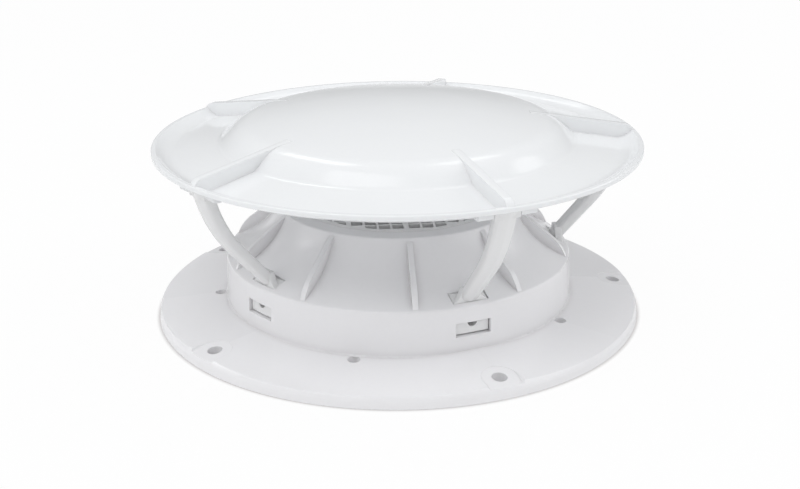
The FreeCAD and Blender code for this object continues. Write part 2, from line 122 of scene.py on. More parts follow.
@dataclass(frozen=True)
class MouldedPlastic:
    """White moulded plastic: glossy skin, faint flow marks and mottle, soft edges, painted shade in
    the corners.

    Attributes:
        name: name of the material.
        colour: colour of the clean skin.
        corner_shade_colour: colour of the painted shade where two walls meet.
        surface: kind of mould surface.
        edge_round: radius that the edges look rounded to, in metres.
        corner_shade_reach: distance over which the painted shade reaches out of a corner, in
            metres.
        tint_scale: scale of the wandering tint, per metre.
        tint_share: how far the tint wanders, as a share of the colour.
        mottle_scale: scale of the fine mottle, per metre.
        mottle_share: strength of the mottle, as a share of the colour.
        grain_scale: scale of the fine grain, per metre.
        flow_scale: scale of the flow marks, per metre.
    """

    name: str
    colour: Colour
    corner_shade_colour: Colour
    surface: Surface
    edge_round: float = 0.00025
    corner_shade_reach: float = 0.003
    tint_scale: float = 16.0
    tint_share: float = 0.012
    mottle_scale: float = 700.0
    mottle_share: float = 0.010
    grain_scale: float = 2600.0
    flow_scale: float = 38.0

    def build(self) -> bpy.types.Material:
        """Makes the node material.

        Returns:
            The finished material.
        """
        material = bpy.data.materials.new(self.name)
        material.use_nodes = True
        tree = material.node_tree
        shader = tree.nodes["Principled BSDF"]
        shader.inputs["IOR"].default_value = PLASTIC_IOR
        place = tree.nodes.new("ShaderNodeTexCoord")
        edge = tree.nodes.new("ShaderNodeBevel")
        edge.samples = EDGE_SAMPLES
        edge.inputs["Radius"].default_value = self.edge_round
        self._colour(tree, place, shader)
        self._skin(tree, place, edge, shader)
        return material

    def _noise(
        self, tree: bpy.types.NodeTree, place: bpy.types.Node, scale: float, detail: float
    ) -> bpy.types.Node:
        """Adds a noise pattern on the object's own coordinates.

        Args:
            tree: node tree of the material.
            place: its texture coordinate node.
            scale: scale of the pattern, per metre.
            detail: number of finer layers.

        Returns:
            The noise node.
        """
        noise = tree.nodes.new("ShaderNodeTexNoise")
        noise.inputs["Scale"].default_value = scale
        noise.inputs["Detail"].default_value = detail
        tree.links.new(place.outputs["Object"], noise.inputs["Vector"])
        return noise

    def _between(
        self, tree: bpy.types.NodeTree, share: bpy.types.Node, low: Colour, high: Colour
    ) -> bpy.types.Node:
        """Adds a colour that runs between two others with a pattern.

        Args:
            tree: node tree of the material.
            share: the pattern's noise node.
            low: colour where the pattern is low.
            high: colour where it is high.

        Returns:
            The mix node.
        """
        mix = tree.nodes.new("ShaderNodeMix")
        mix.data_type = "RGBA"
        mix.inputs["A"].default_value = (*low, 1.0)
        mix.inputs["B"].default_value = (*high, 1.0)
        tree.links.new(share.outputs["Fac"], mix.inputs["Factor"])
        return mix

    def _colour(
        self, tree: bpy.types.NodeTree, place: bpy.types.Node, shader: bpy.types.Node
    ) -> None:
        """Clean colour with a wandering tint and a fine mottle, greyed by painted shade in the
        corners.

        Args:
            tree: node tree of the material.
            place: its texture coordinate node.
            shader: the shader to feed.
        """
        low = tuple(value * (1.0 - self.tint_share) for value in self.colour)
        high = tuple(min(1.0, value * (1.0 + self.tint_share)) for value in self.colour)
        tint = self._noise(tree, place, self.tint_scale, detail=3.0)
        clean = self._between(tree, tint, low, high)
        pale = (1.0, 1.0, 1.0)
        deep = tuple(1.0 - 2.0 * self.mottle_share for _ in pale)
        specks = self._noise(tree, place, self.mottle_scale, detail=2.0)
        mottle = self._between(tree, specks, deep, pale)
        mottled = tree.nodes.new("ShaderNodeMix")
        mottled.data_type = "RGBA"
        mottled.blend_type = "MULTIPLY"
        mottled.inputs["Factor"].default_value = 1.0
        tree.links.new(clean.outputs["Result"], mottled.inputs["A"])
        tree.links.new(mottle.outputs["Result"], mottled.inputs["B"])
        # Painted shade: the colour turns to the corner shade colour where the surface is hemmed in
        # by its own walls
        corner = tree.nodes.new("ShaderNodeAmbientOcclusion")
        corner.samples = CORNER_SAMPLES
        corner.only_local = True
        corner.inputs["Distance"].default_value = self.corner_shade_reach
        painted_corner_shade = tree.nodes.new("ShaderNodeMix")
        painted_corner_shade.data_type = "RGBA"
        painted_corner_shade.inputs["A"].default_value = (*self.corner_shade_colour, 1.0)
        tree.links.new(corner.outputs["AO"], painted_corner_shade.inputs["Factor"])
        tree.links.new(mottled.outputs["Result"], painted_corner_shade.inputs["B"])
        tree.links.new(painted_corner_shade.outputs["Result"], shader.inputs["Base Color"])

    def _exposed(self, tree: bpy.types.NodeTree, edge: bpy.types.Node) -> bpy.types.Node:
        """Finds the edges, where the softened normal leaves the surface's own.

        Args:
            tree: node tree of the material.
            edge: the bevel node that softens the edges.

        Returns:
            A node whose result is 1 on an edge and 0 away from it.
        """
        own = tree.nodes.new("ShaderNodeNewGeometry")
        likeness = tree.nodes.new("ShaderNodeVectorMath")
        likeness.operation = "DOT_PRODUCT"
        tree.links.new(edge.outputs["Normal"], likeness.inputs[0])
        tree.links.new(own.outputs["Normal"], likeness.inputs[1])
        exposed = tree.nodes.new("ShaderNodeMapRange")
        exposed.inputs["From Min"].default_value = 1.0
        exposed.inputs["From Max"].default_value = EXPOSED_LIKENESS
        tree.links.new(likeness.outputs["Value"], exposed.inputs["Value"])
        return exposed

    def _skin(
        self,
        tree: bpy.types.NodeTree,
        place: bpy.types.Node,
        edge: bpy.types.Node,
        shader: bpy.types.Node,
    ) -> None:
        """Roughness that wanders and rises on the edges, long flow waves, fine grain, soft edges.

        Args:
            tree: node tree of the material.
            place: its texture coordinate node.
            edge: the bevel node that softens the edges.
            shader: the shader to feed.
        """
        texture = TEXTURES[self.surface]
        flow = self._noise(tree, place, self.flow_scale, detail=2.0)
        grain = self._noise(tree, place, self.grain_scale, detail=2.0)
        rough = tree.nodes.new("ShaderNodeMapRange")
        rough.inputs["To Min"].default_value = texture.roughness - texture.spread
        rough.inputs["To Max"].default_value = texture.roughness + texture.spread
        tree.links.new(flow.outputs["Fac"], rough.inputs["Value"])
        worn = tree.nodes.new("ShaderNodeMath")
        worn.operation = "MULTIPLY_ADD"
        worn.inputs[1].default_value = texture.edge_wear
        tree.links.new(self._exposed(tree, edge).outputs["Result"], worn.inputs[0])
        tree.links.new(rough.outputs["Result"], worn.inputs[2])
        tree.links.new(worn.outputs["Value"], shader.inputs["Roughness"])
        waves = tree.nodes.new("ShaderNodeBump")
        waves.inputs["Distance"].default_value = texture.flow
        tree.links.new(flow.outputs["Fac"], waves.inputs["Height"])
        tree.links.new(edge.outputs["Normal"], waves.inputs["Normal"])
        skin = tree.nodes.new("ShaderNodeBump")
        skin.inputs["Distance"].default_value = texture.grain
        tree.links.new(grain.outputs["Fac"], skin.inputs["Height"])
        tree.links.new(waves.outputs["Normal"], skin.inputs["Normal"])
        tree.links.new(skin.outputs["Normal"], shader.inputs["Normal"])


SHELL_WHITE = MouldedPlastic(
    name="shell_white_plastic",
    colour=(0.885, 0.880, 0.892),
    corner_shade_colour=(0.70, 0.68, 0.69),
    surface=Surface.GLOSS,
)
CAP_WHITE = MouldedPlastic(
    name="cap_white_plastic",
    colour=(0.880, 0.893, 0.902),
    corner_shade_colour=(0.81, 0.81, 0.82),
    surface=Surface.POLISHED,
    edge_round=0.0002,
)
LEG_WHITE = MouldedPlastic(
    name="leg_white_plastic",
    colour=(0.848, 0.849, 0.850),
    corner_shade_colour=(0.76, 0.75, 0.74),
    surface=Surface.GLOSS,
    edge_round=0.0002,
    corner_shade_reach=0.002,
)
SCREEN_WHITE = MouldedPlastic(
    name="screen_white_plastic",
    colour=(0.86, 0.86, 0.86),
    corner_shade_colour=(0.62, 0.61, 0.61),
    surface=Surface.SATIN,
)


# Modelling helpers

class Bend(NamedTuple):
    """One corner of a line in the plane of X and Z.

    Attributes:
        reach: its X, the distance from the axis where the shape stands round it.
        height: its Z.
        round: radius that rounds it.
    """

    reach: float
    height: float
    round: float = 0.0


def drawn_on(
    shape: bmesh.types.BMesh, last: bmesh.types.BMVert | None, place: Vector
) -> bmesh.types.BMVert:
    """Draws a straight run on to a place, or starts a line there.

    Args:
        shape: the bmesh that holds the line.
        last: the line's last vertex, or None to start a line.
        place: where the run ends.

    Returns:
        The vertex at the place.
    """
    if last is None:
        return shape.verts.new(place)
    new = bmesh.ops.extrude_vert_indiv(shape, verts=[last])["verts"][0]
    new.co = place
    return new


def bent_line(shape: bmesh.types.BMesh, bends: list[Bend], closed: bool, step: float = 6.0) -> None:
    """Draws a line of straight runs whose corners are rounded by spinning its last vertex.

    Args:
        shape: the bmesh to draw in.
        bends: the line's corners in order.
        closed: whether the last corner joins the first.
        step: turn between two vertices of a bend, in degrees.
    """
    places = [Vector((bend.reach, 0.0, bend.height)) for bend in bends]
    first = last = None
    for index, bend in enumerate(bends):
        here = places[index]
        if bend.round > 0.0:
            run_in = (here - places[index - 1]).normalized()
            run_out = (places[(index + 1) % len(places)] - here).normalized()
            turn = run_in.angle(run_out)
            axis = run_in.cross(run_out).normalized()
            start = here - run_in * bend.round * math.tan(turn / 2.0)
            last = drawn_on(shape, last, start)
            first = first or last
            steps = max(2, math.ceil(math.degrees(turn) / step))
            centre = start + axis.cross(run_in) * bend.round
            spun = bmesh.ops.spin(
                shape, geom=[last], cent=centre, axis=axis, angle=turn, steps=steps,
            )
            last = next(item for item in spun["geom_last"] if isinstance(item, bmesh.types.BMVert))
        else:
            last = drawn_on(shape, last, here)
            first = first or last
    if closed:
        shape.edges.new((last, first))
    bmesh.ops.remove_doubles(shape, verts=shape.verts[:], dist=MERGE_DISTANCE)


def turned_shell(bends: list[Bend], steps: int) -> bmesh.types.BMesh:
    """Spins a line that starts and ends on the axis into a closed shell.

    Args:
        bends: the line's corners in order.
        steps: number of steps round the axis.

    Returns:
        The shell.
    """
    shape = bmesh.new()
    bent_line(shape, bends, closed=False)
    geometry = shape.verts[:] + shape.edges[:]
    bmesh.ops.spin(
        shape, geom=geometry, cent=(0, 0, 0), axis=UP, angle=math.tau, steps=steps, use_merge=True,
    )
    bmesh.ops.remove_doubles(shape, verts=shape.verts[:], dist=NEAR_DISTANCE)
    bmesh.ops.recalc_face_normals(shape, faces=shape.faces[:])
    return shape


def blade(
    bends: list[Bend], thickness: float, edge_round: float, sharp: int = 0
) -> bmesh.types.BMesh:
    """Raises a closed outline into a plate across the plane of X and Z, its long edges rounded.

    Args:
        bends: the outline's corners in order.
        thickness: thickness of the plate.
        edge_round: radius of its edges.
        sharp: how many of the last corners lie on edges that stay sharp.

    Returns:
        The plate.
    """
    shape = bmesh.new()
    bent_line(shape, bends, closed=True)
    side = bmesh.ops.contextual_create(shape, geom=shape.edges[:])["faces"]
    bmesh.ops.translate(shape, verts=shape.verts[:], vec=-ACROSS * thickness / 2.0)
    raised = bmesh.ops.extrude_face_region(shape, geom=side)["geom"]
    moved = [item for item in raised if isinstance(item, bmesh.types.BMVert)]
    bmesh.ops.translate(shape, verts=moved, vec=ACROSS * thickness)
    bmesh.ops.recalc_face_normals(shape, faces=shape.faces[:])
    kept = [(bend.reach, bend.height) for bend in bends[len(bends) - sharp:]]
    rim = []
    for edge in shape.edges:
        level = abs(edge.verts[0].co.y - edge.verts[1].co.y) < NEAR_DISTANCE
        ends = [(vert.co.x, vert.co.z) for vert in edge.verts]
        on_kept = any(math.dist(place, end) < NEAR_DISTANCE for place in kept for end in ends)
        if level and not on_kept:
            rim.append(edge)
    if edge_round > 0.0:
        bmesh.ops.bevel(
            shape, geom=rim, offset=edge_round, offset_type="OFFSET", segments=EDGE_SEGMENTS,
            profile=0.5, affect="EDGES", material=-1, clamp_overlap=True,
        )
    return shape


def added(shape: bmesh.types.BMesh, extra: bmesh.types.BMesh, move: Matrix) -> None:
    """Adds a copy of one bmesh to another.

    Args:
        shape: the bmesh that grows.
        extra: the bmesh that is copied into it.
        move: where the copy goes.
    """
    mesh = bpy.data.meshes.new("copy")
    extra.to_mesh(mesh)
    mesh.transform(move)
    shape.from_mesh(mesh)
    bpy.data.meshes.remove(mesh)


def round_the_axis(angle: float) -> Matrix:
    """Turn that brings a shape drawn along +X to an angle from the front."""
    return Matrix.Rotation(math.radians(angle - 90.0), 4, "Z")


def finished(name: str, shape: bmesh.types.BMesh, material: bpy.types.Material) -> bpy.types.Object:
    """Makes an object of a bmesh, smooth except at its real edges.

    Args:
        name: name of the piece.
        shape: its bmesh, which is freed.
        material: its finish.

    Returns:
        The new object.
    """
    for face in shape.faces:
        face.smooth = True
    for edge in shape.edges:
        edge.smooth = len(edge.link_faces) == 2 and edge.calc_face_angle(0.0) < SMOOTH_LIMIT
    mesh = bpy.data.meshes.new(name)
    shape.to_mesh(mesh)
    shape.free()
    mesh.materials.append(material)
    piece = bpy.data.objects.new(name, mesh)
    bpy.context.scene.collection.objects.link(piece)
    return piece


def dress_node(name: str, material: bpy.types.Material) -> None:
    """Gives a moulding of the frame its material in every slot.

    Args:
        name: name of the moulding.
        material: its finish.
    """
    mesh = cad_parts[name].data
    if not mesh.materials:
        mesh.materials.append(material)
    for index in range(len(mesh.materials)):
        mesh.materials[index] = material


# Sub-assemblies

@dataclass
class Cap:
    """Dished disc with a low crown and an upstanding rim, a rib and two rails at each leg.

    Attributes:
        radius: outer radius.
        rim: height of the rim's top.
        wall: thickness of the disc.
        apex_rise: height of the crown's middle over the rim.
        crown_rise: height of the crown's edge over the rim.
        crown_radius: radius of the crown's edge.
        shoulder: how far the shoulder lies out from the crown's edge, and its round.
        crease: how far the crease lies out from the crown's edge, its height over the rim and
            its round.
        brim: how far the brim's lowest line lies in from the edge, its drop under the rim and
            its round.
        lip_width: width of the rim's top.
        lip_round: radius of the rim's outer edge.
        rib_thickness: thickness of a rib.
        rib_round: radius of a rib's edges.
        rib_inner: radius at which a rib leaves the crown.
        rib_outer_inset: how far a rib's end lies inside the edge.
        rib_outer_rise: height of a rib's end over the rim.
        rib_end_round: radius of a rib's outer end.
        rib_sink: how deep a rib's foot is sunk, as a share of the disc's thickness.
        rib_end_sink: the same at its outer end.
        brim_sink: how deep it is sunk in the brim, as a share of its usual depth.
        crease_sink: the same in the crease.
        shoulder_sink: how far its foot runs under the crown's edge at the shoulder.
        rail_depth: length of a rail along the radius.
        rail_width: width of a rail.
        rail_drop: how far the rails hang under the rim.
        rail_start: distance of a rail from the leg's middle.
        rail_inset: how far a rail's end lies inside the edge.
        rail_sink: how deep a rail's top is sunk, as a share of the disc's thickness.
        rail_step: step by which the corners of its sunk top leave that depth.
        rail_corners: radii of its inner and outer lower corners.
        rail_round: radius of its edges.
        steps: number of steps round the axis.
    """

    radius: float = 0.0973
    rim: float = 0.0708
    wall: float = 0.0019
    apex_rise: float = 0.0132
    crown_rise: float = 0.0078
    crown_radius: float = 0.058
    shoulder: tuple[float, float] = (0.0055, 0.015)
    crease: tuple[float, float, float] = (0.0127, 0.00025, 0.005)
    brim: tuple[float, float, float] = (0.0059, 0.0031, 0.0075)
    lip_width: float = 0.0019
    lip_round: float = 0.0006
    rib_thickness: float = 0.0032
    rib_round: float = 0.0009
    rib_inner: float = 0.0535
    rib_outer_inset: float = 0.0007
    rib_outer_rise: float = 0.0019
    rib_end_round: float = 0.004
    rib_sink: float = 0.55
    rib_end_sink: float = 0.85
    brim_sink: float = 0.6
    crease_sink: float = 0.7
    shoulder_sink: float = 0.0026
    rail_depth: float = 0.0084
    rail_width: float = 0.006
    rail_drop: float = 0.0044
    rail_start: float = 0.0052
    rail_inset: float = 0.0026
    rail_sink: float = 0.6
    rail_step: float = 0.0004
    rail_corners: tuple[float, float] = (0.0006, 0.0008)
    rail_round: float = 0.0005
    steps: int = 200

    def sphere(self) -> float:
        """Radius of the crown's sphere."""
        fall = self.apex_rise - self.crown_rise
        return (self.crown_radius ** 2 + fall ** 2) / (2.0 * fall)

    def crown_height(self, reach: float) -> float:
        """Height of the crown's top at a distance from the axis."""
        sphere = self.sphere()
        return self.rim + self.apex_rise - sphere + math.sqrt(sphere ** 2 - reach ** 2)

    def top_line(self) -> list[Bend]:
        """Top line of the disc, from the axis to the inside of the rim.

        Returns:
            Its corners: apex, the crown's bend, shoulder, crease, brim and rim.
        """
        sphere = self.sphere()
        apex = self.rim + self.apex_rise
        lean = math.asin(self.crown_radius / sphere)
        shoulder_reach, shoulder_round = self.shoulder
        crease_reach, crease_rise, crease_round = self.crease
        brim_inset, brim_drop, brim_round = self.brim
        shoulder_height = self.crown_height(self.crown_radius) - math.tan(lean) * shoulder_reach
        return [
            Bend(0.0, apex),
            Bend(sphere * math.tan(lean / 2.0), apex, sphere),
            Bend(self.crown_radius + shoulder_reach, shoulder_height, shoulder_round),
            Bend(self.crown_radius + crease_reach, self.rim + crease_rise, crease_round),
            Bend(self.radius - brim_inset, self.rim - brim_drop, brim_round),
            Bend(self.radius - self.lip_width, self.rim),
        ]

    def disc(self) -> bmesh.types.BMesh:
        """Spins the disc with its crown, brim and rim.

        Returns:
            The disc.
        """
        top = self.top_line()
        under = []
        for bend in reversed(top):
            under.append(Bend(bend.reach, bend.height - self.wall, bend.round))
        rim = [
            Bend(self.radius, self.rim, self.lip_round),
            Bend(self.radius, self.rim - self.wall, self.lip_round / 2.0),
        ]
        return turned_shell(top + rim + under, self.steps)

    def rib(self) -> bmesh.types.BMesh:
        """Raises a straight-topped rib from the crown to the rim, its foot sunk into the disc.

        Returns:
            The rib, along +X.
        """
        outer = self.radius - self.rib_outer_inset
        sunk = self.wall * self.rib_sink
        inner_top = self.crown_height(self.rib_inner)
        edge_top = self.crown_height(self.crown_radius)
        outline = [
            Bend(self.rib_inner, inner_top),
            Bend(outer, self.rim + self.rib_outer_rise, self.rib_end_round),
            Bend(outer, self.rim - self.wall * self.rib_end_sink),
            Bend(self.radius - self.lip_width, self.rim - sunk),
            Bend(self.radius - self.brim[0], self.rim - self.brim[1] - sunk * self.brim_sink),
            Bend(self.crown_radius + self.crease[0], self.rim - sunk * self.crease_sink),
            Bend(self.crown_radius + self.shoulder[0], edge_top - self.shoulder_sink),
            Bend(self.rib_inner, inner_top - sunk),
        ]
        return blade(outline, self.rib_thickness, self.rib_round, sharp=6)

    def rail(self) -> bmesh.types.BMesh:
        """Raises a short rail whose top is sunk into the brim.

        Returns:
            The rail, along +X.
        """
        outer = self.radius - self.rail_inset
        inner = outer - self.rail_depth
        low = self.rim - self.rail_drop
        brim_inset, brim_drop, _ = self.brim
        sunk = self.wall * self.rail_sink
        inner_corner, outer_corner = self.rail_corners
        outline = [
            Bend(inner, low, inner_corner),
            Bend(outer, low, outer_corner),
            Bend(outer, self.rim - sunk - self.rail_step),
            Bend(self.radius - brim_inset, self.rim - brim_drop - sunk + self.rail_step),
            Bend(inner, self.rim - brim_drop - sunk + 2.0 * self.rail_step),
        ]
        return blade(outline, self.rail_width, self.rail_round, sharp=3)

    def build(self, material: bpy.types.Material) -> bpy.types.Object:
        """Builds the cap in place of the frame's.

        Args:
            material: its finish.

        Returns:
            The cap.
        """
        shape = self.disc()
        rib = self.rib()
        rail = self.rail()
        offset = self.rail_start + self.rail_width / 2.0
        for angle in LEG_ANGLES:
            turn = round_the_axis(angle)
            added(shape, rib, turn)
            for side in (-offset, offset):
                added(shape, rail, turn @ Matrix.Translation(ACROSS * side))
        rib.free()
        rail.free()
        piece = finished("cap_moulding", shape, material)
        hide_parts("cap")
        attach(piece, "root")
        return piece


@dataclass
class Leg:
    """Curved leg with a ridged outer face, a foot that fills its slot and a head under the brim.

    Attributes:
        root: radius and height where the curved part leaves the foot.
        bend: radius and height at which it turns outwards, and the round there.
        knee: radius and height at which it turns up again, and the round there.
        head: radius and height of its top.
        foot_size: width and thickness at the root.
        head_size: width and thickness at the top.
        ridge: rise of the outer face's middle line.
        corner: radius of the section's corners.
        ridge_round: round of the middle line, as a share of the corners'.
        inner_inset: how far the inner face's corners stand in, as a share of the corners' radius.
        cut: two points, radius and height, of the slope that ends the leg inside the brim.
        block_round: radius of the edges of the seat and the foot.
        foot_inner: radius of the foot's inner face.
        foot_outer: radius of its outer face.
        foot_low: height of its underside.
        pocket: radius of the wall behind the latch, and the heights between which the foot is open.
        foot_top: heights of its top at the inner and the outer face.
        foot_half: half its width.
        flare_rise: height of the flare over the foot.
        flare_depth: thickness of the flare.
        flare_proud: how far the flare stands out from the foot's face.
        flare_overlap: how far its upper ends reach into the leg's sides.
        flare_root: how far it starts under the foot's top.
        flare_corner: radius where it leaves the foot.
        flare_hollow: its hollow corner: distance from its upper end, height over the foot, round.
        flare_round: radius of its edges.
        seat_outer: radius of the seat's outer face.
        seat_half: half the seat's width.
        seat_depth: its length along the radius.
        seat_drop: how far its underside lies under the leg's top.
        seat_crease: how far in from its outer face its sunk top bends.
        seat_tops: how far that top lies under the leg's top: outside, at the bend and inside.
    """

    root: tuple[float, float] = (0.0655, 0.0215)
    bend: tuple[float, float, float] = (0.0655, 0.0261, 0.0055)
    knee: tuple[float, float, float] = (0.0886, 0.0521, 0.058)
    head: tuple[float, float] = (0.0934, 0.0708)
    foot_size: tuple[float, float] = (0.0070, 0.0046)
    head_size: tuple[float, float] = (0.0088, 0.0060)
    ridge: float = 0.0009
    corner: float = 0.0012
    ridge_round: float = 1.5
    inner_inset: float = 0.25
    cut: tuple[tuple[float, float], tuple[float, float]] = ((0.0904, 0.0671), (0.0964, 0.0697))
    block_round: float = 0.0003
    foot_inner: float = 0.0631
    foot_outer: float = 0.0675
    foot_low: float = 0.0076
    pocket: tuple[float, float, float] = (0.0643, 0.0096, 0.0194)
    foot_top: tuple[float, float] = (0.0274, 0.0252)
    foot_half: float = 0.0070
    flare_rise: float = 0.0056
    flare_depth: float = 0.0030
    flare_proud: float = 0.0003
    flare_overlap: float = 0.0003
    flare_root: float = 0.0015
    flare_corner: float = 0.0004
    flare_hollow: tuple[float, float, float] = (0.0012, 0.0021, 0.006)
    flare_round: float = 0.0005
    seat_outer: float = 0.0947
    seat_half: float = 0.0050
    seat_depth: float = 0.0096
    seat_drop: float = 0.0048
    seat_crease: float = 0.0033
    seat_tops: tuple[float, float, float] = (0.0025, 0.0037, 0.0032)

    def middle_line(self) -> list[Vector]:
        """Sets points along the leg's middle line, closer together where it bends.

        Returns:
            The points, from the foot up.
        """
        shape = bmesh.new()
        bends = [Bend(*self.root), Bend(*self.bend), Bend(*self.knee), Bend(*self.head)]
        bent_line(shape, bends, closed=False, step=1.5)
        points = sorted((vert.co.copy() for vert in shape.verts), key=lambda place: place.z)
        shape.free()
        return points

    def section(self, shape: bmesh.types.BMesh) -> bmesh.types.BMFace:
        """Draws the leg's section flat at the origin, outer face towards +X and corners rounded.

        Args:
            shape: the bmesh to draw in.

        Returns:
            The section's face.
        """
        half_width = self.foot_size[0] / 2.0
        half_depth = self.foot_size[1] / 2.0
        outer = Bend(half_depth - self.ridge, half_width, self.corner)
        inner = Bend(-half_depth, half_width - self.corner * self.inner_inset, self.corner)
        outline = [
            Bend(half_depth, 0.0, self.corner * self.ridge_round),
            outer,
            inner,
            Bend(inner.reach, -inner.height, inner.round),
            Bend(outer.reach, -outer.height, outer.round),
        ]
        bent_line(shape, outline, closed=True, step=18.0)
        face = bmesh.ops.contextual_create(shape, geom=shape.edges[:])["faces"][0]
        flat = Matrix.Rotation(math.radians(90.0), 3, "X")
        bmesh.ops.rotate(shape, verts=shape.verts[:], cent=(0, 0, 0), matrix=flat)
        return face

    def strap(self) -> bmesh.types.BMesh:
        """Extrudes the section along the middle line, wider and deeper towards the head.

        Returns:
            The curved part of the leg, ended along the cut.
        """
        shape = bmesh.new()
        face = self.section(shape)
        points = self.middle_line()
        lengths = [0.0]
        for before, after in zip(points, points[1:]):
            lengths.append(lengths[-1] + (after - before).length)
        placed = Matrix.Identity(4)
        for index, point in enumerate(points):
            along = points[min(index + 1, len(points) - 1)] - points[max(index - 1, 0)]
            share = lengths[index] / lengths[-1]
            width = 1.0 + share * (self.head_size[0] / self.foot_size[0] - 1.0)
            depth = 1.0 + share * (self.head_size[1] / self.foot_size[1] - 1.0)
            lean = Matrix.Rotation(math.atan2(along.x, along.z), 4, "Y")
            place = Matrix.Translation(point) @ lean @ Matrix.Diagonal((depth, width, 1.0, 1.0))
            if index > 0:
                left_behind = [face] if index > 1 else []
                raised = bmesh.ops.extrude_face_region(shape, geom=[face])["geom"]
                face = next(item for item in raised if isinstance(item, bmesh.types.BMFace))
                bmesh.ops.delete(shape, geom=left_behind, context="FACES_ONLY")
            bmesh.ops.transform(shape, matrix=place @ placed.inverted(), verts=face.verts[:])
            placed = place
        inner, outer = self.cut
        run = Vector((outer[0] - inner[0], 0.0, outer[1] - inner[1]))
        geometry = shape.verts[:] + shape.edges[:] + shape.faces[:]
        bmesh.ops.bisect_plane(
            shape, geom=geometry, dist=MERGE_DISTANCE, plane_co=(inner[0], 0.0, inner[1]),
            plane_no=run.cross(ACROSS), clear_outer=True,
        )
        opened = [edge for edge in shape.edges if edge.is_boundary]
        bmesh.ops.holes_fill(shape, edges=opened, sides=0)
        bmesh.ops.recalc_face_normals(shape, faces=shape.faces[:])
        return shape

    def seat(self) -> bmesh.types.BMesh:
        """Raises a flat pad behind the top of the leg, sunk into the underside of the brim.

        Returns:
            The seat.
        """
        low = self.head[1] - self.seat_drop
        inner = self.seat_outer - self.seat_depth
        outside, crease, inside = (self.head[1] - drop for drop in self.seat_tops)
        outline = [
            Bend(inner, low),
            Bend(self.seat_outer, low),
            Bend(self.seat_outer, outside),
            Bend(self.seat_outer - self.seat_crease, crease),
            Bend(inner, inside),
        ]
        return blade(outline, 2.0 * self.seat_half, self.block_round, sharp=3)

    def foot(self) -> bmesh.types.BMesh:
        """Raises the block that fills the slot, open behind the window.

        Returns:
            The foot.
        """
        back, pocket_low, pocket_top = self.pocket
        outline = [
            Bend(self.foot_inner, self.foot_low),
            Bend(self.foot_outer, self.foot_low),
            Bend(self.foot_outer, pocket_low),
            Bend(back, pocket_low),
            Bend(back, pocket_top),
            Bend(self.foot_outer, pocket_top),
            Bend(self.foot_outer, self.foot_top[1]),
            Bend(self.foot_inner, self.foot_top[0]),
        ]
        return blade(outline, 2.0 * self.foot_half, self.block_round)

    def flare(self) -> bmesh.types.BMesh:
        """Raises the flare from the sides of the leg down to the full width of its foot.

        Returns:
            The flare, across the leg.
        """
        foot_top = self.foot_top[1]
        leg_half = self.foot_size[0] / 2.0 - self.flare_overlap
        reach, rise, hollow = self.flare_hollow
        right = [
            Bend(self.foot_half, foot_top - self.flare_root),
            Bend(self.foot_half, foot_top, self.flare_corner),
            Bend(leg_half + reach, foot_top + rise, hollow),
            Bend(leg_half, foot_top + self.flare_rise),
        ]
        left = [Bend(-bend.reach, bend.height, bend.round) for bend in reversed(right)]
        shape = blade(right + left, self.flare_depth, self.flare_round)
        turn = Matrix.Rotation(math.radians(90.0), 4, "Z")
        middle = Vector((self.foot_outer + self.flare_proud - self.flare_depth / 2.0, 0.0, 0.0))
        bmesh.ops.transform(shape, matrix=Matrix.Translation(middle) @ turn, verts=shape.verts[:])
        return shape

    def build(self, index: int, material: bpy.types.Material) -> bpy.types.Object:
        """Builds one leg in place of the frame's.

        Args:
            index: number of the leg, from 0.
            material: its finish.

        Returns:
            The leg.
        """
        shape = bmesh.new()
        for part in (self.strap(), self.seat(), self.foot(), self.flare()):
            added(shape, part, Matrix.Identity(4))
            part.free()
        bmesh.ops.transform(shape, matrix=round_the_axis(LEG_ANGLES[index]), verts=shape.verts[:])
        piece = finished("leg_moulding_%d" % (index + 1), shape, material)
        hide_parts("leg_%d" % (index + 1))
        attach(piece, "root")
        return piece


@dataclass
class FrameMouldings:
    """The mouldings that keep the shape they have in the frame: base, screen and latches."""

    def build(
        self, shell: bpy.types.Material, screen: bpy.types.Material, latch: bpy.types.Material
    ) -> int:
        """Dresses them.

        Args:
            shell: finish of the base.
            screen: finish of the screen.
            latch: finish of the latches.

        Returns:
            How many were dressed.
        """
        dress_node("base", shell)
        dress_node("screen", screen)
        latches = [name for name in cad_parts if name.startswith("latch_")]
        for name in latches:
            dress_node(name, latch)
        return 2 + len(latches)


# Studio

@dataclass
class Softbox:
    """Rectangular lamp that faces the object.

    Attributes:
        name: name of the lamp.
        place: where it stands.
        size: its width and height, in metres.
        power: its power, in watts.
    """

    name: str
    place: Place
    size: tuple[float, float]
    power: float

    def build(self) -> None:
        """Hangs the lamp."""
        data = bpy.data.lights.new(self.name, "AREA")
        data.shape = "RECTANGLE"
        data.size, data.size_y = self.size
        data.energy = self.power
        lamp = bpy.data.objects.new(self.name, data)
        lamp.location = self.place
        lamp.rotation_euler = (LAMP_TARGET - Vector(self.place)).to_track_quat("-Z", "Y").to_euler()
        bpy.context.scene.collection.objects.link(lamp)


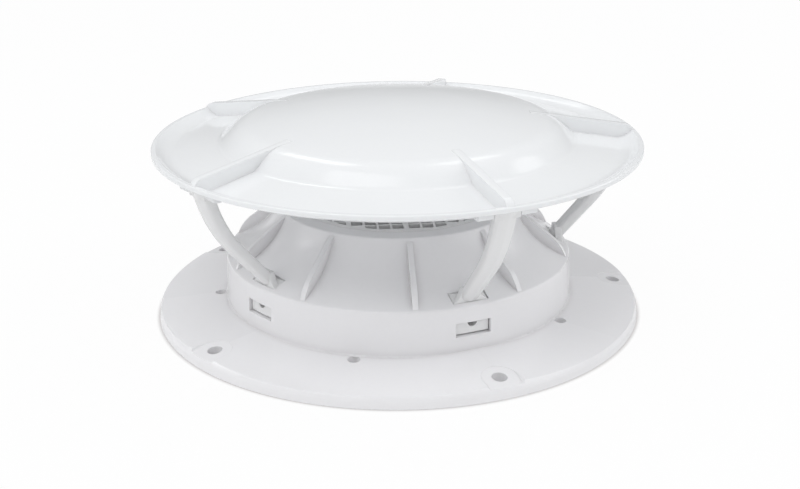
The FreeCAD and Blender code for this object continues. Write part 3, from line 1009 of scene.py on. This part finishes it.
@dataclass
class Studio:
    """Pale floor, white world, softboxes and the camera.

    Attributes:
        floor_size: side of the floor, in metres.
        floor_colour: colour of the floor.
        floor_roughness: roughness of the floor.
        shading_share: how much of the floor's own shading the camera sees beside plain white.
        contact_shadow_reach: how far from the object the painted contact shadow darkens the floor,
            in metres.
        contact_shadow_range: open shares of the view between which the painted contact shadow
            fades.
        hole_shade_reach: how far away a hole's wall still casts painted shade on the floor in it,
            in metres.
        hole_shade_range: open shares of the view between which the painted shade in a hole fades.
        contact_shadow_colour: colour of the painted contact shadow and of the painted shade deep in
            a hole.
        light_colour: colour of the world's light.
        zenith: light of the world from above.
        horizon: light of the world from the horizon.
        front: how much more light comes from the front.
        front_range: Y of the directions at which that is full and at which it is nothing.
        softboxes: the lamps.
        camera_place: where the camera stands.
        camera_tilt: its tilt from straight down, in degrees.
        camera_turn: its turn about its own axis, in degrees.
        lens: focal length, in millimetres.
        sensor: width of the sensor, in millimetres.
    """

    floor_size: float = 6.0
    floor_colour: Colour = (0.9, 0.9, 0.9)
    floor_roughness: float = 0.9
    shading_share: float = 0.065
    contact_shadow_reach: float = 0.003
    contact_shadow_range: tuple[float, float] = (0.35, 0.85)
    hole_shade_reach: float = 0.010
    hole_shade_range: tuple[float, float] = (0.12, 0.45)
    contact_shadow_colour: Colour = (0.30, 0.27, 0.27)
    light_colour: Colour = (0.982, 0.988, 1.0)
    zenith: float = 0.61
    horizon: float = 0.35
    front: float = 0.18
    front_range: tuple[float, float] = (-0.3, 0.9)
    softboxes: list[Softbox] = field(default_factory=lambda: [
        Softbox("key_softbox", (-0.4, -0.6, 1.3), (1.1, 1.1), 5.9),
        Softbox("left_softbox", (-1.3, -0.1, 0.6), (0.8, 0.8), 1.7),
        Softbox("left_lamp", (-1.25, 0.0, 0.64), (0.26, 0.2), 0.28),
        Softbox("right_softbox", (1.3, -0.5, 0.5), (0.8, 0.8), 1.5),
        Softbox("rear_softbox", (1.2, 0.3, 0.8), (0.8, 0.8), 2.9),
        Softbox("left_strip", (-0.37, 0.69, 1.10), (0.2, 0.55), 0.8),
        Softbox("right_strip", (0.32, 0.67, 1.15), (0.2, 0.45), 0.5),
    ])
    camera_place: Place = (0.00078, -0.48744, 0.20683)
    camera_tilt: float = 69.49
    camera_turn: float = -0.348
    lens: float = 56.643
    sensor: float = 36.0

    def build(self) -> None:
        """Builds the whole studio."""
        self._floor()
        self._world()
        for softbox in self.softboxes:
            softbox.build()
        self._camera()

    def _floor(self) -> None:
        """Floor that the camera sees as near white, with the object's shadow and a painted contact
        shadow.
        """
        mesh = bpy.data.meshes.new("floor")
        shape = bmesh.new()
        bmesh.ops.create_grid(shape, x_segments=1, y_segments=1, size=self.floor_size / 2.0)
        shape.to_mesh(mesh)
        shape.free()
        floor = bpy.data.objects.new("floor", mesh)
        bpy.context.scene.collection.objects.link(floor)
        material = bpy.data.materials.new("floor")
        material.use_nodes = True
        tree = material.node_tree
        shader = tree.nodes["Principled BSDF"]
        shader.inputs["Base Color"].default_value = (*self.floor_colour, 1.0)
        shader.inputs["Roughness"].default_value = self.floor_roughness
        contact_shadow_mask = self._openness(tree, self.contact_shadow_reach, self.contact_shadow_range)
        hole_shade_mask = self._openness(tree, self.hole_shade_reach, self.hole_shade_range)
        openness = tree.nodes.new("ShaderNodeMath")
        openness.operation = "MINIMUM"
        tree.links.new(contact_shadow_mask.outputs["Result"], openness.inputs[0])
        tree.links.new(hole_shade_mask.outputs["Result"], openness.inputs[1])
        # Painted shadow: the floor's plain white glow turns dark along the object's foot and deep
        # in its holes
        painted_shadow = tree.nodes.new("ShaderNodeMix")
        painted_shadow.data_type = "RGBA"
        painted_shadow.inputs["A"].default_value = (*self.contact_shadow_colour, 1.0)
        painted_shadow.inputs["B"].default_value = WHITE
        tree.links.new(openness.outputs["Value"], painted_shadow.inputs["Factor"])
        glow = tree.nodes.new("ShaderNodeEmission")
        tree.links.new(painted_shadow.outputs["Result"], glow.inputs["Color"])
        rays = tree.nodes.new("ShaderNodeLightPath")
        plain_white = tree.nodes.new("ShaderNodeMath")
        plain_white.operation = "MULTIPLY"
        plain_white.inputs[1].default_value = 1.0 - self.shading_share
        tree.links.new(rays.outputs["Is Camera Ray"], plain_white.inputs[0])
        blend = tree.nodes.new("ShaderNodeMixShader")
        tree.links.new(plain_white.outputs["Value"], blend.inputs["Fac"])
        tree.links.new(shader.outputs["BSDF"], blend.inputs[1])
        tree.links.new(glow.outputs["Emission"], blend.inputs[2])
        tree.links.new(blend.outputs["Shader"], tree.nodes["Material Output"].inputs["Surface"])
        mesh.materials.append(material)

    def _openness(
        self, tree: bpy.types.NodeTree, reach: float, shares: tuple[float, float]
    ) -> bpy.types.Node:
        """Measures how open the floor is to the room above it, as the mask of its painted shadow.

        Args:
            tree: node tree of the floor's material.
            reach: how far away the object still counts, in metres.
            shares: open share of the view at which the result is 0, and at which it is 1.

        Returns:
            The node that gives the openness.
        """
        view = tree.nodes.new("ShaderNodeAmbientOcclusion")
        view.samples = FLOOR_SAMPLES
        view.inputs["Distance"].default_value = reach
        openness = tree.nodes.new("ShaderNodeMapRange")
        openness.inputs["From Min"].default_value = shares[0]
        openness.inputs["From Max"].default_value = shares[1]
        tree.links.new(view.outputs["AO"], openness.inputs["Value"])
        return openness

    def _world(self) -> None:
        """White all round to the camera; on the object, brighter from above and from the front."""
        world = bpy.data.worlds.new("studio")
        bpy.context.scene.world = world
        world.use_nodes = True
        tree = world.node_tree
        light = tree.nodes["Background"]
        light.inputs["Color"].default_value = (*self.light_colour, 1.0)
        direction = tree.nodes.new("ShaderNodeTexCoord")
        parts = tree.nodes.new("ShaderNodeSeparateXYZ")
        tree.links.new(direction.outputs["Generated"], parts.inputs["Vector"])
        height = tree.nodes.new("ShaderNodeMapRange")
        height.inputs["To Min"].default_value = self.horizon
        height.inputs["To Max"].default_value = self.zenith
        tree.links.new(parts.outputs["Z"], height.inputs["Value"])
        depth = tree.nodes.new("ShaderNodeMapRange")
        depth.inputs["From Min"].default_value = self.front_range[0]
        depth.inputs["From Max"].default_value = self.front_range[1]
        depth.inputs["To Min"].default_value = self.front
        depth.inputs["To Max"].default_value = 0.0
        tree.links.new(parts.outputs["Y"], depth.inputs["Value"])
        level = tree.nodes.new("ShaderNodeMath")
        level.operation = "ADD"
        tree.links.new(height.outputs["Result"], level.inputs[0])
        tree.links.new(depth.outputs["Result"], level.inputs[1])
        tree.links.new(level.outputs["Value"], light.inputs["Strength"])
        seen = tree.nodes.new("ShaderNodeBackground")
        rays = tree.nodes.new("ShaderNodeLightPath")
        blend = tree.nodes.new("ShaderNodeMixShader")
        seen.inputs["Color"].default_value = WHITE
        tree.links.new(rays.outputs["Is Camera Ray"], blend.inputs["Fac"])
        tree.links.new(light.outputs["Background"], blend.inputs[1])
        tree.links.new(seen.outputs["Background"], blend.inputs[2])
        tree.links.new(blend.outputs["Shader"], tree.nodes["World Output"].inputs["Surface"])

    def _camera(self) -> None:
        """Sets the camera up at the photograph's place."""
        data = bpy.data.cameras.new("camera")
        data.lens = self.lens
        data.sensor_width = self.sensor
        data.sensor_fit = "HORIZONTAL"
        camera = bpy.data.objects.new("camera", data)
        tilt = Matrix.Rotation(math.radians(self.camera_tilt), 4, "X")
        turn = Matrix.Rotation(math.radians(self.camera_turn), 4, "Z")
        camera.matrix_world = Matrix.Translation(self.camera_place) @ tilt @ turn
        bpy.context.scene.collection.objects.link(camera)
        bpy.context.scene.camera = camera


def main() -> None:
    """Builds the object and its studio, and reports each piece."""
    logging.basicConfig(level=logging.INFO, format="%(name)s: %(message)s")
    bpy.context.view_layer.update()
    leg_finish = LEG_WHITE.build()
    dressed = FrameMouldings().build(SHELL_WHITE.build(), SCREEN_WHITE.build(), leg_finish)
    log.info("dressed %d mouldings of the frame", dressed)
    cap = Cap().build(CAP_WHITE.build())
    log.info("%s: %d faces", cap.name, len(cap.data.polygons))
    leg = Leg()
    for index in range(len(LEG_ANGLES)):
        piece = leg.build(index, leg_finish)
        log.info("%s: %d faces", piece.name, len(piece.data.polygons))
    Studio().build()
    bpy.context.scene.view_settings.view_transform = "Standard"


if __name__ == "__main__":
    main()
